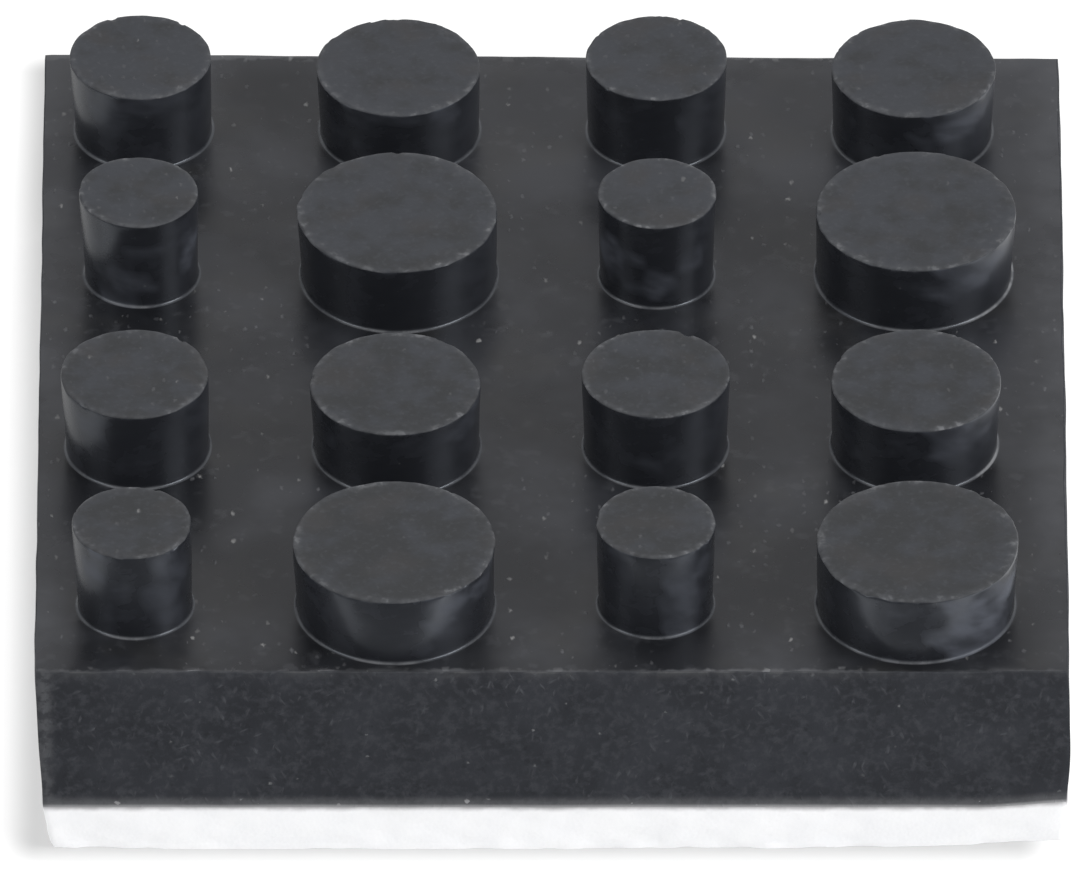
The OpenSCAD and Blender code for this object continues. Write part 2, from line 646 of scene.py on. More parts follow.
@dataclass(frozen=True, kw_only=True)
class WallFinish(Finish):
    """The studs' walls: smooth black from the mould, with bluish smears, painted sheen and painted
    highlights, and a painted highlight along the foot.
    """

    base: float = 0.0140
    # The colour of smears and of the painted sheen and highlights.
    smear_and_sheen: float = 0.100
    speck: float = 0.09
    # The colour of the painted highlight along each stud's foot.
    foot: float = 0.195
    rim: float = 0.05
    gloss: float = 0.5
    roughness: float = 0.25
    tint: Rgba = (0.83, 0.90, 1.0, 1.0)

    def material(self) -> bpy.types.Material:
        """Builds the material.

        Returns:
            The material.
        """
        r = Recipe(bpy.data.materials.new("rubber_wall"))
        streaks = r.noise(0.9, 3.0, r.mapped(scale=(0.55, 0.55, 1.25), vector=r.mapped(turn=(12, -20, 0))))
        wiped = r.noise(0.5, 2.0, r.mapped(scale=(0.4, 0.4, 1.3), vector=r.mapped(turn=(-8, 14, 0))))
        patchy = r.plus(r.smooth(r.noise(1.7, 3.0, rough=0.55), 0.45, 0.75, 0.0, 0.10), 0.03)
        # Smears, and the painted sheen and highlights that the haze weights carry, over random patches all
        # round.
        smear_and_sheen = r.most(r.times(r.attribute(Mark.SMEAR_AND_SHEEN), r.smooth(streaks, 0.32, 0.66, 0.5, 1.0)),
                       r.times(patchy, r.smooth(wiped, 0.36, 0.70, 0.75, 1.45)))
        r.coat(smear_and_sheen, grey(self.smear_and_sheen, 0.32), under=grey(self.base, 0.3))
        r.coat(r.specks(0.9, 0.5, 0.085, dimensions="3D"), grey(self.speck, 0.1))
        # The painted highlight along each stud's foot, stronger and weaker by turns.
        worn = r.smooth(r.noise(1.1, 3.0), 0.36, 0.62, 0.35, 1.1)
        r.coat(r.times(r.attribute(Mark.FOOT_HIGHLIGHT), worn), grey(self.foot, 0.06))
        chipped = r.smooth(r.noise(0.5, 2.0), 0.5, 0.7)
        r.coat(r.times(r.attribute(Mark.RIM), chipped), grey(self.rim, 0.15))
        rough = r.plus(self.roughness, r.times(smear_and_sheen, 0.5), clamp=True)
        return self.surface(r, r.bump(streaks, 0.004, r.bump(r.noise(2.2, 1.5), 0.03)), rough)


@dataclass(frozen=True, kw_only=True)
class CrownFinish(Finish):
    """The studs' tops: dull and softly mottled, painted lighter towards the back, with dust and a paler rim
    that is chipped in places.
    """

    base: float = 0.0195
    bloom: float = 0.0295
    rim: float = 0.063
    dust: float = 0.16
    gloss: float = 0.4
    roughness: float = 0.62
    tint: Rgba = (0.92, 0.96, 1.0, 1.0)

    def material(self) -> bpy.types.Material:
        """Builds the material.

        Returns:
            The material.
        """
        r = Recipe(bpy.data.materials.new("rubber_crown"))
        # Mottling, with a painted gradient: lighter towards the back.
        clouds = r.plus(r.noise(1.9, 4.0, rough=0.6), r.smooth(r.axes[1], -20.0, 20.0, -0.06, 0.10))
        r.coat(r.smooth(clouds, 0.36, 0.66), grey(self.bloom, 0.28), under=grey(self.base, 0.12))
        warm = r.smooth(r.noise(2.6, 2.0, r.mapped(shift=(13, 5, 0))), 0.5, 0.7, 0.0, 0.6)
        r.coat(warm, (self.bloom * 1.02, self.bloom * 0.95, self.bloom * 0.97, 1.0))
        grain = r.noise(0.32, 2.0)
        r.coat(r.smooth(grain, 0.5, 0.8, 0.0, 0.35), grey(self.bloom * 1.7, 0.2))
        dusty = r.attribute(Mark.DUST)
        rounder = r.mapped(scale=(1.0, 0.62, 1.0))
        faint = r.times(r.specks(0.55, 0.6, 0.13, rounder), dusty)
        r.coat(r.times(faint, 0.8), grey(self.rim, 0.1))
        bright = r.times(r.specks(2.2, 0.45, 0.16, rounder), dusty)
        r.coat(bright, grey(self.dust))
        rim = r.times(r.attribute(Mark.RIM), r.smooth(r.noise(2.4, 2.0), 0.42, 0.62, 0.42, 1.0))
        patchy = r.noise(0.45, 3.0)
        r.coat(r.times(rim, r.smooth(patchy, 0.36, 0.62, 0.3, 1.0)), grey(self.rim, 0.12))
        r.coat(r.times(rim, r.smooth(patchy, 0.57, 0.69)), grey(self.dust * 0.75, 0.08))
        height = r.plus(grain, r.times(r.most(faint, bright), 2.0))
        return self.surface(r, r.bump(height, 0.008, r.bump(r.noise(1.4, 2.0), 0.03)))


@dataclass(frozen=True, kw_only=True)
class CutFinish(Finish):
    """The slab's cut sides: granular, with short strokes from the knife, pale crumbs along the upper edge, a
    band that grows lighter towards the lower edge, and a painted reflection of the white foam along its very
    bottom.

    Attributes:
        top: The height of the slab's upper face.
        bottom: The height of its underside.
        worn_x: Where along X the worn front left corner starts.
        worn_y: Where along Y, on the left side, it starts to fade away.
        lifted_x: Where along X the lower edge starts to rise towards the right corners.
        lift: How far it rises.
    """

    top: float
    bottom: float
    worn_x: float
    worn_y: float
    lifted_x: float
    lift: float
    base: float = 0.0240
    grain: float = 0.0440
    stroke: float = 0.074
    arris: float = 0.075
    crumb: float = 0.11
    # How light the band along the lower edge is, and the painted reflection of the white foam along its very
    # bottom.
    lower_band: float = 0.095
    painted_foam_reflection: float = 0.31
    gloss: float = 0.12
    roughness: float = 0.7
    tint: Rgba = (0.88, 0.93, 1.0, 1.0)

    def material(self) -> bpy.types.Material:
        """Builds the material. Its strokes and crumbs lie on a plane whose X is X plus Y, and its Y is Z.

        Returns:
            The material.
        """
        r = Recipe(bpy.data.materials.new("rubber_cut"))
        x, y, z = r.axes
        side = r.add("CombineXYZ", {0: r.plus(x, y), 1: z}).outputs[0]
        clouds = r.smooth(r.noise(3.2, 2.0), 0.35, 0.68)
        r.coat(clouds, grey(self.base * 1.3, 0.26), under=grey(self.base, 0.25))
        grain = r.noise(0.44, 3.0, rough=0.6)
        r.coat(r.smooth(grain, 0.42, 0.74, 0.0, 0.9), grey(self.grain, 0.21))
        pits = r.smooth(r.noise(0.5, 2.0, r.mapped(shift=(9, 9, 9))), 0.60, 0.74, 0.0, 0.3)
        r.coat(pits, grey(self.base * 0.5, 0.2))
        # Wear: the front left corner is lighter.
        wear_and_painted_light = r.times(r.smooth(x, self.worn_x + 0.7, self.worn_x), r.smooth(grain, 0.35, 0.6, 0.3, 0.9),
                         r.smooth(y, self.worn_y + 3.5, self.worn_y))
        r.coat(wear_and_painted_light, grey(self.grain * 1.8, 0.10))
        upper = r.smooth(z, self.bottom, self.top, -0.06, 0.06)
        upper_left = r.plus(upper, r.smooth(x, 12.0, -24.0, -0.04, 0.08))
        busy = r.plus(r.noise(4.5, 1.0, r.mapped(shift=(3, 0, 5))), upper_left)
        strokes = r.most(r.strokes(12, 0.46, 0.60, side), r.strokes(-28, 0.50, 0.55, side),
                         r.strokes(62, 0.60, 0.55, side))
        r.coat(r.times(strokes, r.smooth(busy, 0.38, 0.64, 0.18, 0.85)), grey(self.stroke, 0.16))
        worn = r.edge_wear()
        loose = r.times(r.specks(0.8, 0.5, 0.20, side), r.smooth(z, self.top - 0.45, self.top - 0.12), worn)
        r.coat(r.most(r.specks(1.6, 0.28, 0.13, side), loose), grey(self.crumb * 1.35, 0.05))
        patchy = r.smooth(r.noise(0.6, 3.0), 0.35, 0.65, 0.3, 1.0)
        r.coat(r.times(r.attribute(Mark.ARRIS), patchy, worn), grey(self.arris, 0.05))
        lifted = r.maths("SUBTRACT", z, r.smooth(x, self.lifted_x, self.lifted_x + 5.0, 0.0, self.lift))
        # Lighter towards the lower edge.
        lower_band_share = r.times(r.smooth(lifted, self.bottom + 0.66, self.bottom + 0.02),
                         r.smooth(grain, 0.3, 0.6, 0.7, 1.0))
        r.coat(lower_band_share, grey(self.lower_band, 0.08))
        # A painted reflection of the white foam along the very bottom edge.
        r.coat(r.smooth(lifted, self.bottom + 0.10, self.bottom - 0.14), grey(self.painted_foam_reflection, 0.03))
        bits = r.times(r.specks(1.2, 0.5, 0.17, side, soft=0.4),
                       r.smooth(lifted, self.bottom + 0.45, self.bottom + 0.20))
        r.coat(bits, grey(self.crumb * 2.6, 0.03))
        return self.surface(r, r.bump(r.plus(grain, strokes), 0.03, r.bump(r.noise(2.5, 2.0), 0.08)))


@dataclass(frozen=True, kw_only=True)
class FoamFinish(Finish):
    """White closed-cell foam, cut with a knife: matt, faintly mottled, with a painted shade along its upper
    edge, under the rubber.
    """

    base: float = 0.985
    shade: float = 0.958
    # How strong, and what colour, the painted shade along the top edge under the rubber is.
    wear_and_painted_light: float = 0.90
    lip_shade: Rgba = (0.37, 0.355, 0.375, 1.0)
    gloss: float = 0.2
    roughness: float = 0.85

    def material(self) -> bpy.types.Material:
        """Builds the material.

        Returns:
            The material.
        """
        r = Recipe(bpy.data.materials.new("white_foam"))
        r.coat(r.smooth(r.noise(1.8, 3.0), 0.35, 0.7), grey(self.base, 0.015), under=grey(self.shade, 0.022))
        # Painted shade along the top edge, under the rubber's overhang.
        frayed = r.plus(r.attribute(Mark.ARRIS), r.smooth(r.noise(0.9, 3.0), 0.3, 0.7, -0.05, 0.05))
        r.coat(r.smooth(frayed, 0.42, 0.90, 0.0, self.wear_and_painted_light), self.lip_shade)
        return self.surface(r, r.bump(r.cells(0.22)[0], 0.010, r.bump(r.noise(1.2, 2.0), 0.03)))


# ------------------------------------------------------------------ pieces


@dataclass
class RubberPad:
    """The black moulding: a slab with sixteen studs, made as one closed surface.

    Every stud stands in a four-sided cell of its own. Rings of points spread from the middle of the stud's
    top over its rim, down its wall and out over the slab to the cell's border, which it shares with its
    neighbours. The outer borders run on down the slab's cut sides and close underneath.
    """

    name: str = "rubber_moulding"
    nodes: tuple[str, ...] = ("rubber_pad",)
    per_side: int = 40
    rim_round: float = 0.12
    foot_fillet: float = 0.15
    arris_round: float = 0.07
    corner_round: float = 0.15
    worn_corner: float = 0.28
    worn_reach: tuple[float, float] = (0.4, 1.0)
    side_lean: float = 0.15
    left_lean: float = 0.37
    right_belly: float = 0.10
    knife_wave: float = 0.035
    worn_edge: float = 0.07
    outward_lean: float = 0.006
    lean_middle: float = 3.5
    column_skew: float = 0.2
    row_shift_x: tuple[float, ...] = (-0.03, 0.0, 0.075, 0.08)
    row_shift_y: tuple[float, ...] = (-0.13, -0.10, -0.015, -0.065)
    row_turn: tuple[float, ...] = (0.002, 0.002, -0.004, -0.004)
    back_slim: float = 0.12
    back_skew: float = 0.0075
    bottom_lip: float = 0.17
    right_lift: float = 0.33
    lifted_span: float = 4.5
    slim_radius: float = 3.2
    # How strong the painted light on the studs' sides is, and the front row's painted highlight bands.
    painted_side_light: float = 0.17
    wear_and_painted_light: float = 0.20
    # Column, row, angle, rise, wide, tall and strength of each patch, real smears and painted highlights
    # alike.
    smears_and_highlights: tuple[SmearAndHighlight, ...] = tuple(SmearAndHighlight(*patch) for patch in (
        (0, 0, -42, 0.84, 16, 0.36, 0.58), (0, 0, 38, 0.40, 32, 0.90, 0.30),
        (1, 0, 32, 0.72, 13, 0.42, 0.56), (1, 0, 66, 0.75, 16, 0.22, 0.40),
        (2, 0, 32, 0.42, 30, 0.80, 0.36), (2, 0, 52, 0.85, 16, 0.26, 0.30),
        (3, 0, 46, 0.34, 40, 0.85, 0.68), (3, 0, 40, 0.80, 30, 0.14, 0.64),
        (3, 0, 56, 0.58, 30, 0.24, 0.74), (0, 1, -38, 0.72, 18, 0.35, 0.26),
        (1, 1, 62, 0.78, 26, 0.35, 0.32), (2, 1, -5, 0.36, 26, 0.14, 0.22),
        (3, 1, 33, 0.80, 31, 0.38, 0.46), (0, 2, 58, 0.58, 26, 0.20, 0.62),
        (0, 2, 5, 0.62, 30, 0.12, 0.24), (0, 2, -22, 0.18, 34, 0.36, 0.40),
        (2, 2, -50, 0.48, 34, 0.28, 0.56), (2, 2, -5, 0.28, 40, 0.16, 0.50),
        (2, 2, 38, 0.50, 18, 0.35, 0.36), (3, 2, 34, 0.80, 31, 0.38, 0.48),
        (0, 3, -40, 0.75, 18, 0.30, 0.26), (0, 3, 5, 0.88, 50, 0.22, 0.26),
        (1, 3, -10, 0.92, 44, 0.14, 0.20), (1, 3, 34, 0.85, 18, 0.22, 0.38),
        (2, 3, 36, 0.60, 22, 0.30, 0.22), (3, 3, 34, 0.76, 31, 0.38, 0.46),
    ))
    studs: list[StudSite] = field(default_factory=list)
    half: Array = field(default_factory=lambda: np.zeros(2))
    top: float = 0.0
    bottom: float = 0.0

    def measure(self) -> None:
        """Takes the slab's outline and the studs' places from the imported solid."""
        points = node_points(self.nodes[0])
        self.half = points[:, :2].max(axis=0)
        self.bottom = points[:, 2].min()
        outer = np.abs(points[:, 0]) > self.half[0] - 0.01
        self.top = points[outer, 2].max()
        self.studs = [self.skewed(stud) for stud in measure_studs(points, self.top)]

    def skewed(self, stud: StudSite) -> StudSite:
        """The stud where the mould really puts it.

        Each row is shifted a little and turned, so that Y grows with X times the row's turn. The right
        column's two middle studs stand further back, and the back row's studs are a little slimmer.

        Args:
            stud: The stud as packed.

        Returns:
            The stud in its own place.
        """
        skew = self.column_skew if stud.column == 3 and stud.row in (1, 2) else 0.0
        slim = self.back_slim if stud.row == 3 else 0.0
        return replace(
            stud,
            x=stud.x + self.row_shift_x[stud.row],
            y=stud.y + self.row_shift_y[stud.row] + self.row_turn[stud.row] * stud.x + skew,
            top_radius=stud.top_radius - slim,
            foot_radius=stud.foot_radius - slim,
        )

    def cell_edges(self, axis: int) -> Array:
        """Where the borders between cells lie along an axis: the slab's sides, and midway between studs.

        Args:
            axis: 0 for X, or 1 for Y.

        Returns:
            The borders, from the lowest to the highest.
        """
        ranks = np.array([(stud.column, stud.row)[axis] for stud in self.studs])
        centres = np.array([(stud.x, stud.y)[axis] for stud in self.studs])
        middles = np.array([centres[ranks == rank].mean() for rank in range(ranks.max() + 1)])
        reach = self.half[axis] - self.arris_round
        return np.round(np.concatenate([[-reach], (middles[1:] + middles[:-1]) / 2, [reach]]), 4)

    def stud_profile(self, stud: StudSite) -> tuple[Array, Array, Array, Array, Array]:
        """A stud's profile from the middle of its top to the end of its foot's fillet.

        Flat circles widen over the top, a quarter circle turns over the rim, a straight wall narrows a
        little on its way down, and a hollow quarter circle leads out onto the slab.

        Args:
            stud: The stud.

        Returns:
            Radii, heights above the slab, the zone of each strip, the rim weights, and the weights of the
            painted highlight along the foot.
        """
        crown_r = (stud.top_radius - self.rim_round) * np.array([0.4, 0.75, 0.93, 0.98])
        rim_r = stud.top_radius - self.rim_round * LACK
        rim_z = stud.height - self.rim_round * FALL
        down = np.array([0.03, 0.1, 0.2, 0.31, 0.43, 0.55, 0.67, 0.79, 0.9, 0.97])
        wall_z = rim_z[-1] + (self.foot_fillet - rim_z[-1]) * down
        wall_r = stud.top_radius + (stud.foot_radius - stud.top_radius) * down
        radii = np.concatenate([crown_r, rim_r, wall_r, stud.foot_radius + self.foot_fillet * FALL])
        heights = np.concatenate([np.full(len(crown_r), stud.height), rim_z, wall_z, self.foot_fillet * LACK])
        zones = np.full(len(radii) - 1, Zone.WALL.value)
        zones[: len(crown_r) + len(rim_r) - 2] = Zone.CROWN.value
        rim = np.zeros(len(radii))
        rim[len(crown_r) - 2 : len(crown_r) + len(rim_r)] = (0.12, 0.6, 0.9, 1, 1, 0.7, 0.3)
        foot = np.zeros(len(radii))
        foot[-len(FALL) :] = (0, 0.3, 1, 1, 0.2)
        return radii, heights, zones, rim, foot

    def add_stud(self, skin: Skin, stud: StudSite, xs: Array, ys: Array) -> None:
        """Adds one stud with the part of the slab round it.

        Args:
            skin: The surface to add to.
            stud: The stud.
            xs: The cell's two edges along X.
            ys: The cell's two edges along Y.
        """
        border = walk(xs, ys, self.per_side)
        centre = np.array([stud.x, stud.y])
        ray = border - centre
        angle = np.arctan2(ray[:, 1], ray[:, 0])
        way = np.stack([np.cos(angle), np.sin(angle)], axis=1)
        radii, heights, zones, rim, foot = self.stud_profile(stud)
        rings = self.roughen(raised(way * radii[:, None, None], heights), radii, rim, stud)
        # Smears, and painted sheen and highlights, on the wall.
        haze = self.haze(stud, rings)
        # How bright the painted highlight along the foot is, round the stud.
        foot = foot[:, None] * self.foot_highlight_strength(stud, np.degrees(np.arctan2(way[:, 0], -way[:, 1])))
        rings += [*centre, self.top]

        spread = np.array([0.05, 0.2, 0.5, 0.8, 0.96, 1.0])
        plan = rings[-1, :, :2] * (1 - spread[:, None, None]) + border * spread[:, None, None]
        rings = np.concatenate([rings, raised(plan, np.full(len(spread), self.top))])
        zones = np.concatenate([zones, np.full(len(spread), Zone.LAND.value)])
        dust = np.full(len(rings), 0.8 if stud.column in (0, 2) else 0.25)
        weights = {Mark.RIM: rim, Mark.FOOT_HIGHLIGHT: foot, Mark.SMEAR_AND_SHEEN: haze, Mark.DUST: dust}
        first = skin.add_rings(rings, zones, weights)
        skin.add_pole(rings[0].mean(axis=0), first, len(border), Zone.CROWN, True, {Mark.DUST: dust[:1]})

    def foot_highlight_strength(self, stud: StudSite, angle: Array) -> Array:
        """How bright the painted highlight along a stud's foot is: it grows from the left to the front, and
        the right column's middle studs have it brightest, on their right.

        Args:
            stud: The stud.
            angle: Angles in degrees from the front, positive to the right.

        Returns:
            One weight for each angle.
        """
        behind = ease(angle, 100, 170)
        line = 0.22 + 0.28 * ease(angle, -60, 0) - 0.34 * ease(angle, 0, 35) + 0.06 * behind
        if stud.column == 3 and stud.row in (1, 2):
            line = line + 0.9 * ease(angle, 15, 55) * (1 - behind)
        return line

    def haze(self, stud: StudSite, rings: Array) -> Array:
        """How much smear, painted sheen and painted highlight the stud has at each point.

        A painted light lies on its sides, most on the right, and in the front row two painted highlight bands
        stand about
        31 degrees each side of the front, each a bell curve of the angle. These fade towards the foot; the
        listed patches, real smears and painted highlights, don't.

        Args:
            stud: The stud.
            rings: Points about the stud's own foot, of shape (rings, around, 3).

        Returns:
            Weights from 0 to 1, of shape (rings, around).
        """
        angle = np.degrees(np.arctan2(rings[..., 0], -rings[..., 1]))
        rise = rings[..., 2] / stud.height
        rag = ripple(rings.reshape(-1, 3) + [stud.x, stud.y, 0], 1.6, 77).reshape(angle.shape)
        # A painted light on the sides, most on the right.
        painted_side_light = self.painted_side_light * (0.45 if stud.row == 0 else 1.0)
        right = ease(angle, 8, 38) * (1 - 0.8 * ease(angle, 110, 175))
        whole = painted_side_light * (right + 0.2 * ease(-angle, 15, 40))
        # Two painted highlight bands on each stud of the front row.
        if stud.row == 0:
            highlight_band = np.exp(-(((np.abs(angle) - 31) / 12) ** 2))
            whole += self.wear_and_painted_light * (0.75 + 0.25 * np.sign(angle)) * highlight_band
        # The painted light and highlights fade towards the foot.
        whole *= 0.6 + 0.4 * ease(rise, 0.0, 0.8)
        # Listed patches: some real smears, some painted highlights.
        for smear_and_sheen in self.smears_and_highlights:
            if (smear_and_sheen.column, smear_and_sheen.row) == (stud.column, stud.row):
                whole = np.maximum(whole, smear_and_sheen.weight(angle, rise, rag))
        return whole

    def roughen(self, rings: Array, radii: Array, rim: Array, stud: StudSite) -> Array:
        """Gives a stud the small faults of a moulding.

        The rim wanders in and out and is nicked where a fine ripple peaks, most of all on the slim studs in
        front. The wall and top swell by some hundredths of a millimetre, and the stud leans outwards as it
        rises.

        Args:
            rings: Points about the stud's own foot, of shape (rings, around, 3).
            radii: The radius of each ring.
            rim: The rim weight of each ring.
            stud: The stud.

        Returns:
            The moved points.
        """
        seed = 100 + 10 * stud.column + stud.row
        apart = rings.reshape(-1, 3) + [stud.x, stud.y, 0]
        swell, wander, fine = (
            ripple(apart, size, seed + step, waves).reshape(rings.shape[:2])
            for step, (size, waves) in enumerate(((4.0, 9), (1.3, 9), (0.8, 14)))
        )
        least = 0.9 if stud.row == 0 and stud.top_radius < self.slim_radius else 1.35
        nick = np.clip(fine - least, 0, None)
        outward = 0.018 * swell * ease(rings[..., 2], 0.5, stud.height)
        outward += rim[:, None] * (0.020 * wander + 0.008 * fine - 0.08 * nick)
        moved = rings.copy()
        moved[..., :2] *= (1 + outward / np.maximum(radii, 0.5)[:, None])[..., None]
        moved[..., 2] -= rim[:, None] * np.clip(0.008 * wander + 0.09 * nick, 0, None)
        moved[..., 0] += self.outward_lean * (stud.x - self.lean_middle) * rings[..., 2] / stud.height
        return moved

    def add_sides(self, skin: Skin, xs: Array, ys: Array) -> None:
        """Adds the cut sides, from the slab's upper edge to its underside.

        A quarter circle turns over each long edge, and the sides between them are upright here.

        Args:
            skin: The surface to add to.
            xs: All edges of cells along X.
            ys: All edges of cells along Y.
        """
        border = walk(xs, ys, self.per_side)
        around = len(border)
        outward = np.where(np.abs(border) >= np.array([xs[-1], ys[-1]]) - 1e-6, np.sign(border), 0.0)
        r, thick = self.arris_round, self.top - self.bottom
        side = np.linspace(r, thick - r, 22)[1:-1]
        depth = np.concatenate([r * FALL, side, thick - r * LACK])
        reach = np.concatenate([r * (1 - LACK), np.full(len(side), r), r * (1 - FALL)])
        rings = raised(border + outward * reach[:, None, None], self.top - depth)
        arris = np.array([0.7, 1, 1, 0.9, 0.5, 0.1])
        skin.add_rings(rings, np.full(len(depth) - 1, Zone.CUT.value), {Mark.ARRIS: arris})
        shrink = np.array([1.0, 0.98, 0.5])
        under = raised(rings[-1, :, :2] * shrink[:, None, None], np.full(len(shrink), self.bottom))
        first = skin.add_rings(under, np.full(len(shrink) - 1, Zone.CUT.value))
        last = first + (len(shrink) - 1) * around
        skin.add_pole(np.array([0, 0, self.bottom]), last, around, Zone.CUT, False)

    def settle(self, points: Array) -> Array:
        """Gives the whole moulding the form of one that was cut out of a larger sheet with a knife.

        Near each side the points follow the cut: the front and back lean in a little, the left side leans
        in more, and the right side bellies out. The cuts wander slightly, the upper front edge is worn in
        places, the back edge isn't quite parallel to the front, and the upright corners are rounded, the
        front left one most.

        Args:
            points: The points, in millimetres.

        Returns:
            The moved points.
        """
        moved = points.copy()
        x, y, z = points.T
        half_x, half_y = self.half
        fall = (self.top - z) / (self.top - self.bottom)
        below = np.clip(fall, 0, 1)
        slab = z <= self.top + 1e-6
        left, right = slab * ease(-x, half_x - 1.0, half_x - 0.2), slab * ease(x, half_x - 1.0, half_x - 0.2)
        front, back = ease(-y, half_y - 0.6, half_y - 0.2), slab * ease(y, half_y - 1.5, half_y - 0.2)
        wave = self.knife_wave * (ripple(points, 7.0, 5) + 0.5 * ripple(points, 2.6, 6))
        moved[:, 0] += left * (self.left_lean * below**1.3 + 0.5 * wave)
        moved[:, 0] += right * (self.right_belly * 4 * below * (1 - below) - 0.06 * below**4 + 0.7 * wave)
        moved[:, 1] += slab * front * (self.side_lean * below + 0.3 * wave)
        moved[:, 1] -= back * (self.side_lean * below + 0.6 * wave)
        moved[:, 1] -= back * self.back_skew * x
        worn = np.clip(ripple(points, 2.4, 7) + 0.6 * ripple(points, 1.2, 8), -0.2, 1.6)
        edge = self.worn_edge * slab * ease(-y, half_y - 0.35, half_y - 0.05) * (1 - ease(fall, 0.0, 0.09))
        moved[:, 1] += edge * worn
        moved[:, 2] -= 0.5 * edge * np.clip(worn, 0, None)
        moved[:, 2] -= front * self.bottom_lip * ease(fall, 0.93, 1.0)
        lifted = ease(x, half_x - self.lifted_span, half_x + 0.5) * ease(fall, 0.5, 1.0)
        moved[:, 2] += self.right_lift * lifted
        for side in ((-1, -1), (-1, 1), (1, -1), (1, 1)):
            worn = self.worn_corner if side == (-1, -1) else self.corner_round * 1.3
            radius = self.corner_round + (worn - self.corner_round) * (1 - ease(fall, 0.0, 0.3))
            self.round_corner(moved, np.array(side), radius, slab)
        return moved

    def round_corner(self, points: Array, side: Array, radius: Array, slab: Array) -> None:
        """Rounds one upright corner: inside its square, a point's greater distance from the square's inner
        corner becomes its true distance.

        Args:
            points: The points, moved in place.
            side: The corner's side along X and along Y, each -1 or 1.
            radius: The corner's radius at each point.
            slab: Which points belong to the slab.
        """
        beyond = points[:, :2] * side - (self.half - radius[:, None])
        inside = slab & (beyond > 0).all(axis=1)
        apart = beyond[inside]
        pulled = apart * apart.max(axis=1, keepdims=True) / np.linalg.norm(apart, axis=1, keepdims=True)
        points[np.flatnonzero(inside)[:, None], [0, 1]] += (pulled - apart) * side

    def build(self) -> bpy.types.Object:
        """Builds the moulding and gives each of its zones its finish.

        Returns:
            The moulding.
        """
        self.measure()
        xs, ys = self.cell_edges(0), self.cell_edges(1)
        skin = Skin()
        for stud in self.studs:
            self.add_stud(skin, stud, xs[stud.column : stud.column + 2], ys[stud.row : stud.row + 2])
        self.add_sides(skin, xs, ys)
        made = skin.to_object(self.name, self.settle)
        half_x = self.half[0]
        worn_x, worn_y = self.worn_reach - self.half
        cut = CutFinish(top=self.top, bottom=self.bottom, worn_x=worn_x, worn_y=worn_y,
                        lifted_x=half_x - self.lifted_span, lift=self.right_lift)
        for finish in (LandFinish(half=half_x), WallFinish(), CrownFinish(), cut):
            made.data.materials.append(finish.material())
        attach(made, BODY)
        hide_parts(*self.nodes)
        return made


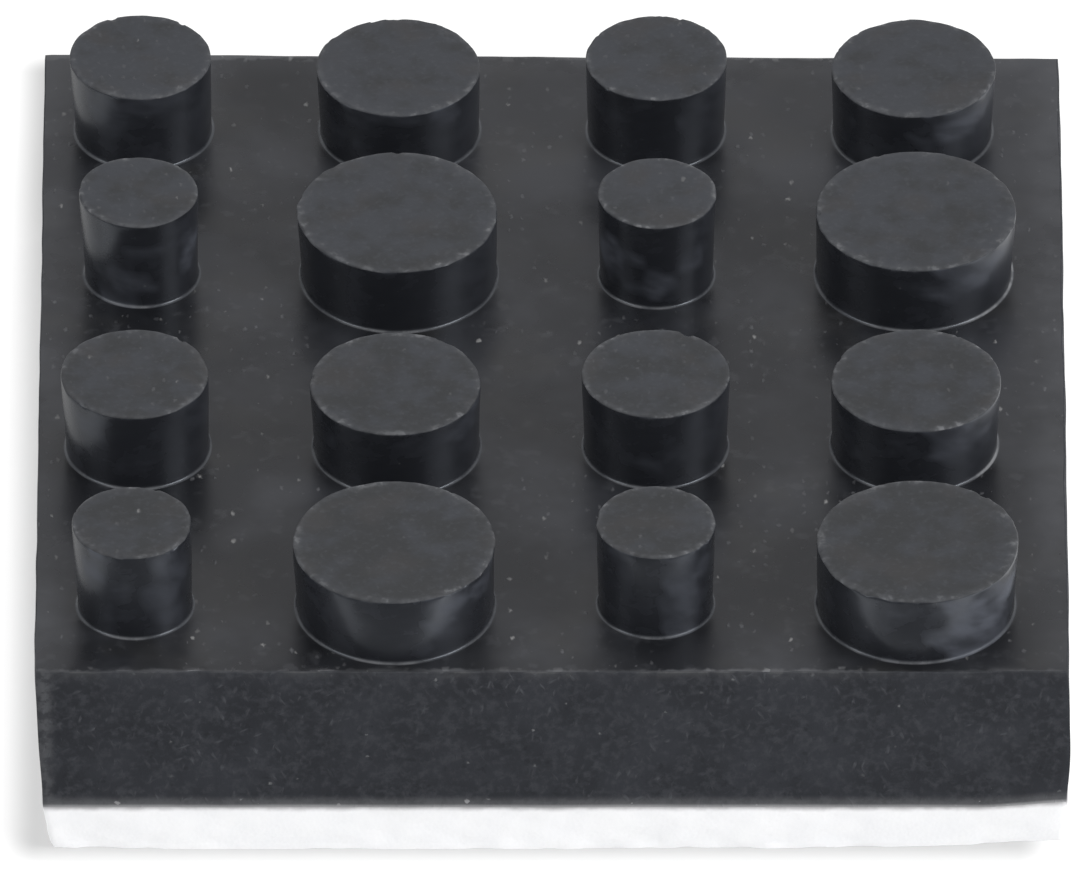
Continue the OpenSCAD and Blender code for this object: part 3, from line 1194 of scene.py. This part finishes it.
@dataclass
class FoamBacking:
    """The white foam under the slab: one closed shell whose cut sides lean in and wander."""

    name: str = "foam_layer"
    nodes: tuple[str, ...] = ("foam_backing",)
    per_side: int = 150
    corner: float = 0.12
    set_back: float = 0.10
    lean: float = 0.45
    top_round: float = 0.22
    round_off: float = 0.05
    bow: float = 0.35
    left_draw: float = 0.35
    right_spread: float = 0.30
    right_lift: float = 0.30
    # How far down the painted shade under the rubber reaches.
    lip_shade_reach: float = 1.0
    low: Array = field(default_factory=lambda: np.zeros(3))
    high: Array = field(default_factory=lambda: np.zeros(3))

    def build(self) -> bpy.types.Object:
        """Builds the foam and its finish.

        Returns:
            The foam.
        """
        self.low, self.high = (np.array(corner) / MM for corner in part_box(self.nodes[0]))
        skin = Skin()
        rings = self.rings()
        count, around = rings.shape[:2]
        # The weight of the painted shade along the top, under the rubber.
        wear_and_painted_light = np.clip(1 - (self.high[2] - rings[:, 0, 2]) / self.lip_shade_reach, 0, 1)
        first = skin.add_rings(rings, np.zeros(count - 1, dtype=int), {Mark.ARRIS: wear_and_painted_light})
        skin.add_pole(np.array([0, 0, self.high[2]]), first, around, Zone.LAND, True)
        skin.add_pole(np.array([0, 0, self.low[2]]), first + (count - 1) * around, around, Zone.LAND, False)
        made = skin.to_object(self.name, self.settle)
        made.data.materials.append(FoamFinish().material())
        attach(made, BODY)
        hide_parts(*self.nodes)
        return made

    def rings(self) -> Array:
        """The foam as rings from the middle of its top, over its edge, down its sides and in underneath.

        Each ring is a rectangle with round corners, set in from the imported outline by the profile's inset.

        Returns:
            The rings, of shape (rings, around, 3).
        """
        thick = self.high[2] - self.low[2]
        side = np.linspace(0, 1, 16)[1:-1]
        inset = self.set_back + np.concatenate([
            [20, 10, 3, 1], self.top_round * LACK,
            0.3 * self.lean * side**2.2,
            0.3 * self.lean + self.round_off * FALL, [1.5, 4, 10, 20],
        ])
        depth = np.concatenate([
            np.zeros(4), self.top_round * FALL,
            self.top_round + (thick - self.round_off - self.top_round) * side,
            thick - self.round_off * LACK, np.full(4, thick),
        ])
        half = ((self.high[:2] - self.low[:2]) / 2 - inset[:, None])[:, None, :]
        square = np.array([-1.0, 1.0])
        plan = walk(square, square, self.per_side) * half
        core_half = half - self.corner * np.clip(1 - inset / 20, 0.05, 1)[:, None, None]
        core = np.clip(plan, -core_half, core_half)
        apart = plan - core
        both = np.abs(apart).min(axis=2, keepdims=True) > 1e-9
        length = np.maximum(np.linalg.norm(apart, axis=2, keepdims=True), 1e-9)
        plan = np.where(both, core + apart * np.abs(apart).max(axis=2, keepdims=True) / length, plan)
        return raised(plan + (self.high[:2] + self.low[:2]) / 2, self.high[2] - depth)

    def settle(self, points: Array) -> Array:
        """Gives the cut its wander: it swells and dents by some hundredths of a millimetre, and towards the
        two front corners the lower edge draws back.

        Args:
            points: The points, in millimetres.

        Returns:
            The moved points.
        """
        moved = points.copy()
        x, y, z = points.T
        end_x, end_y, end_z = self.high
        down = (end_z - z) / (end_z - self.low[2])
        swell = np.clip(0.05 * ripple(points, 6.0, 31) + 0.03 * ripple(points, 1.7, 32) + 0.05, 0, None)
        moved[:, 0] -= np.sign(x) * ease(np.abs(x), end_x - 2.5, end_x - 0.5) * swell * (0.3 + down)
        moved[:, 1] -= np.sign(y) * ease(np.abs(y), end_y - 2.5, end_y - 0.5) * swell * (0.3 + down)
        drawn = np.clip(x / end_x, -1, 1)
        bow = self.bow * np.abs(drawn) ** 3 * (1.0 + 0.9 * np.sign(drawn))
        moved[:, 1] += ease(-y, end_y - 4, end_y) * down * (bow + 0.1)
        moved[:, 0] += ease(-x, end_x - 3, end_x) * down * self.left_draw
        moved[:, 0] += ease(x, end_x - 3, end_x - 0.5) * self.right_spread
        moved[:, 2] += self.right_lift * ease(x, end_x - 4.5, end_x + 0.5) * (1 - down)
        return moved


# ------------------------------------------------------------------ studio


@dataclass(frozen=True)
class Softbox:
    """A square lamp that faces the object.

    Attributes:
        name: The lamp's name.
        azimuth: Its direction in degrees from the front, positive to the right.
        elevation: Its height in degrees above the floor.
        spread: How wide it looks from the object, in degrees.
        brightness: Its own brightness, where 1 is white.
        distance: How far off it stands, in metres.
    """

    name: str
    azimuth: float
    elevation: float
    spread: float
    brightness: float
    distance: float = 0.6

    def place(self, target: Vector) -> None:
        """Makes the lamp.

        Args:
            target: Where it points, in metres.
        """
        size = 2 * self.distance * math.tan(math.radians(self.spread / 2))
        lamp = bpy.data.lights.new(self.name, "AREA")
        lamp.shape = "SQUARE"
        lamp.size = size
        lamp.energy = self.brightness * math.pi * size * size
        made = bpy.data.objects.new(self.name, lamp)
        made.visible_camera = False
        azimuth, elevation = math.radians(self.azimuth), math.radians(self.elevation)
        level = math.cos(elevation)
        way = Vector((math.sin(azimuth) * level, -math.cos(azimuth) * level, math.sin(elevation)))
        made.location = target + way * self.distance
        made.rotation_euler = (-way).to_track_quat("-Z", "Y").to_euler()
        bpy.context.scene.collection.objects.link(made)


@dataclass
class Studio:
    """The floor, the light all round, the lamps and the camera.

    A ramp is where a smooth change starts and ends along X or Y, and its levels there if they aren't 0 and 1.
    The sky's ramp runs along the cosine of the angle from straight behind the object.
    """

    sky: Ramp = (0.2, 0.9, 0.42, 0.80)
    floor_colour: float = 0.88
    floor_shadow: float = 0.25
    floor_lift: float = 0.86
    # How much deeper the painted shadow is behind the object, as a ramp along Y.
    floor_shade: Ramp = (16.0, 34.0, 0.39, 0.48)
    # The glow that reflections alone see on the floor, painted reflections: a sheen, and three cards.
    floor_sheen: Ramp = (-35.0, -39.0, 0.20, 0.05)
    front_card: tuple[Ramp, Ramp] = ((-36.3, -32.8), (-26.5, -29.0))
    front_card_right: Ramp = (-18.0, 13.0, 0.45, 1.3)
    left_card: Ramp = (-32.0, -37.0, 0.0, 0.36)
    right_card: Ramp = (29.0, 34.0, 0.0, 1.0)
    side_cards: Ramp = (-38.0, -35.0)
    floor_mirror: float = 0.20
    mirror_roughness: float = 0.3
    # The box that holds the painted shadow on the floor, and how far beyond it that shadow fades.
    shade_box: tuple[float, float, float, float] = (-24.95, -24.0, 22.5, 38.6)
    shade_reach: float = 2.1
    floor_reach: float = 2000.0
    floor_hole: tuple[float, float, float, float] = (-23.9, -23.6, 24.4, 24.1)
    floor_gap: float = 0.005
    lamps: tuple[Softbox, ...] = (
        Softbox("overhead", azimuth=155, elevation=80, spread=14, brightness=8.0),
        Softbox("front_left", azimuth=-64, elevation=36, spread=28, brightness=3.4),
        Softbox("front_right", azimuth=62, elevation=36, spread=28, brightness=8.4),
    )
    view_elevation: float = 37.09
    view_distance: float = 1956.0
    view_lens: float = 1335.4
    view_offset: Triple = (-0.57, -2.29, -3.03)

    def build_floor(self) -> None:
        """A plain pale floor that runs out to white, with a soft painted shadow close to the object.

        It lies a hair under the object and has a square hole where the object hides it, so that the underside
        gets light and can be looked at from below.
        """
        far = self.floor_reach
        points = []
        for left, front, right, back in ((-far, -far, far, far), self.floor_hole):
            points += [(left, front), (right, front), (right, back), (left, back)]
        sides = [(i, (i + 1) % 4, (i + 1) % 4 + 4, i + 4) for i in range(4)]
        mesh = bpy.data.meshes.new("floor")
        mesh.from_pydata([Vector((x, y, -self.floor_gap)) * MM for x, y in points], [], sides)
        floor = bpy.data.objects.new("floor", mesh)
        bpy.context.scene.collection.objects.link(floor)
        floor.data.materials.append(self.floor_material())

    def floor_material(self) -> bpy.types.Material:
        """Pale paint, lifted to white where the camera sees it, apart from a painted shadow close to the
        object.

        To the camera it is a lift and a share of the paint, so that every shadow stays but none is wide or
        heavy. To light it is plain matt paint, and a reflection sees a glowing sheen and cards painted on it
        for reflections alone, and a dim mirror of the lamps. From below it is clear.

        Returns:
            The material.
        """
        r = Recipe(bpy.data.materials.new("studio_floor"))
        rays = r.add("LightPath").outputs

        def both(first: Socket, second: Socket) -> Socket:
            """Two shaders added up."""
            return r.add("AddShader", {0: first, 1: second}).outputs[0]

        def either(share: Socket, first: Socket, second: Socket) -> Socket:
            """The first of two shaders where the share is 0, and the second where it is 1."""
            return r.add("MixShader", {0: share, 1: first, 2: second}).outputs[0]

        paint, shadow = (r.add("BsdfDiffuse", {"Color": grey(self.floor_colour * share)}).outputs[0]
                         for share in (1.0, self.floor_shadow))
        # The painted shadow close to the object: it lowers the lift.
        shade = r.times(self.painted_shadow_share(r), r.smooth(r.axes[1], *self.floor_shade))
        # The lift to white, and the glow painted on the floor for reflections.
        lift, sheen = (r.add("Emission", {"Strength": strength}).outputs[0]
                       for strength in (r.maths("SUBTRACT", self.floor_lift, shade), self.glow_in_reflections(r)))
        mirror = r.add("BsdfGlossy", {"Color": grey(self.floor_mirror), "Roughness": self.mirror_roughness})
        seen = r.plus(rays["Is Camera Ray"], rays["Is Transmission Ray"], clamp=True)
        floor = either(seen, paint, both(shadow, lift))
        floor = either(rays["Is Glossy Ray"], floor, both(sheen, mirror.outputs[0]))
        underneath = r.add("NewGeometry").outputs["Backfacing"]
        r.end(either(underneath, floor, r.add("BsdfTransparent").outputs[0]))
        r.owner.cycles.emission_sampling = "NONE"
        return r.owner

    def painted_shadow_share(self, r: Recipe) -> Socket:
        """How strong the painted shadow is: 1 next to the object, and 0 a shade reach away from the box that
        holds it.

        The distance to the box is the length of the two overshoots, along X and along Y.

        Args:
            r: The floor's recipe.

        Returns:
            The share.
        """
        squares = []
        for place, low, high in zip(r.axes, self.shade_box[:2], self.shade_box[2:]):
            over = r.most(r.maths("SUBTRACT", place, high), r.maths("SUBTRACT", low, place), 0.0)
            squares.append(r.maths("POWER", over, 2.0))
        distance = r.maths("SQRT", r.plus(*squares))
        return r.smooth(distance, 0.0, self.shade_reach, 1.0, 0.0)

    def glow_in_reflections(self, r: Recipe) -> Socket:
        """How bright reflections see the floor glow: a glowing sheen, dimmer well in front, and three glowing
        cards on it.

        One card runs along the front and is brighter to the right, and the others lie to the left and right.

        Args:
            r: The floor's recipe.

        Returns:
            The brightness.
        """
        x, y, _ = r.axes
        near, far = (r.smooth(y, *ramp) for ramp in self.front_card)
        front = r.times(near, far, r.smooth(x, *self.front_card_right))
        left, right = r.smooth(x, *self.left_card), r.smooth(x, *self.right_card)
        sides = r.times(r.plus(left, right), r.smooth(y, *self.side_cards))
        return r.plus(r.most(front, sides), r.smooth(y, *self.floor_sheen))

    def build_sky(self) -> None:
        """Even light from all round, a little brighter behind the object, which camera rays see as white."""
        world = bpy.data.worlds.new("studio")
        bpy.context.scene.world = world
        r = Recipe(world, "OutputWorld")
        elevation = math.radians(self.view_elevation)
        inputs = {0: r.add("TexCoord").outputs["Generated"], 1: (0, math.cos(elevation), math.sin(elevation))}
        behind = r.add("VectorMath", inputs, operation="DOT_PRODUCT").outputs["Value"]
        level = {"Value": r.add("LightPath").outputs["Is Camera Ray"], "To Max": 1.0,
                 "To Min": r.smooth(behind, *self.sky)}
        strength = r.add("MapRange", level).outputs["Result"]
        r.end(r.add("Background", {"Color": grey(1.0), "Strength": strength}).outputs[0])

    def build_camera(self, slab_top: float) -> None:
        """The camera, far off with a long lens, looking down on the studs from the front.

        Args:
            slab_top: The height of the slab's upper face in millimetres, from whose middle it is aimed.
        """
        elevation = math.radians(self.view_elevation)
        aim = Vector(self.view_offset) + Vector((0, 0, slab_top))
        back = Vector((0, -math.cos(elevation), math.sin(elevation)))
        lens = bpy.data.cameras.new("camera")
        lens.lens = self.view_lens
        lens.sensor_width = 36
        lens.clip_start = 0.1
        lens.clip_end = 10
        camera = bpy.data.objects.new("camera", lens)
        camera.location = (aim + back * self.view_distance) * MM
        camera.rotation_euler = (math.pi / 2 - elevation, 0, 0)
        bpy.context.scene.collection.objects.link(camera)
        bpy.context.scene.camera = camera

    def build(self, slab_top: float) -> None:
        """Sets everything round the object.

        Args:
            slab_top: The height of the slab's upper face in millimetres.
        """
        self.build_floor()
        self.build_sky()
        for lamp in self.lamps:
            lamp.place(Vector((0, 0, slab_top * MM)))
        self.build_camera(slab_top)
        bpy.context.scene.view_settings.view_transform = "Standard"


def main() -> None:
    """Builds the pieces in order, sets the studio round them and logs each piece's face count."""
    logging.basicConfig(level=logging.INFO, format="%(name)s: %(message)s")
    pad = RubberPad()
    for piece in (pad, FoamBacking()):
        made = piece.build()
        log.info("%s: %d faces", made.name, len(made.data.polygons))
    Studio().build(pad.top)
    log.info("studio set")


if __name__ == "__main__":
    main()
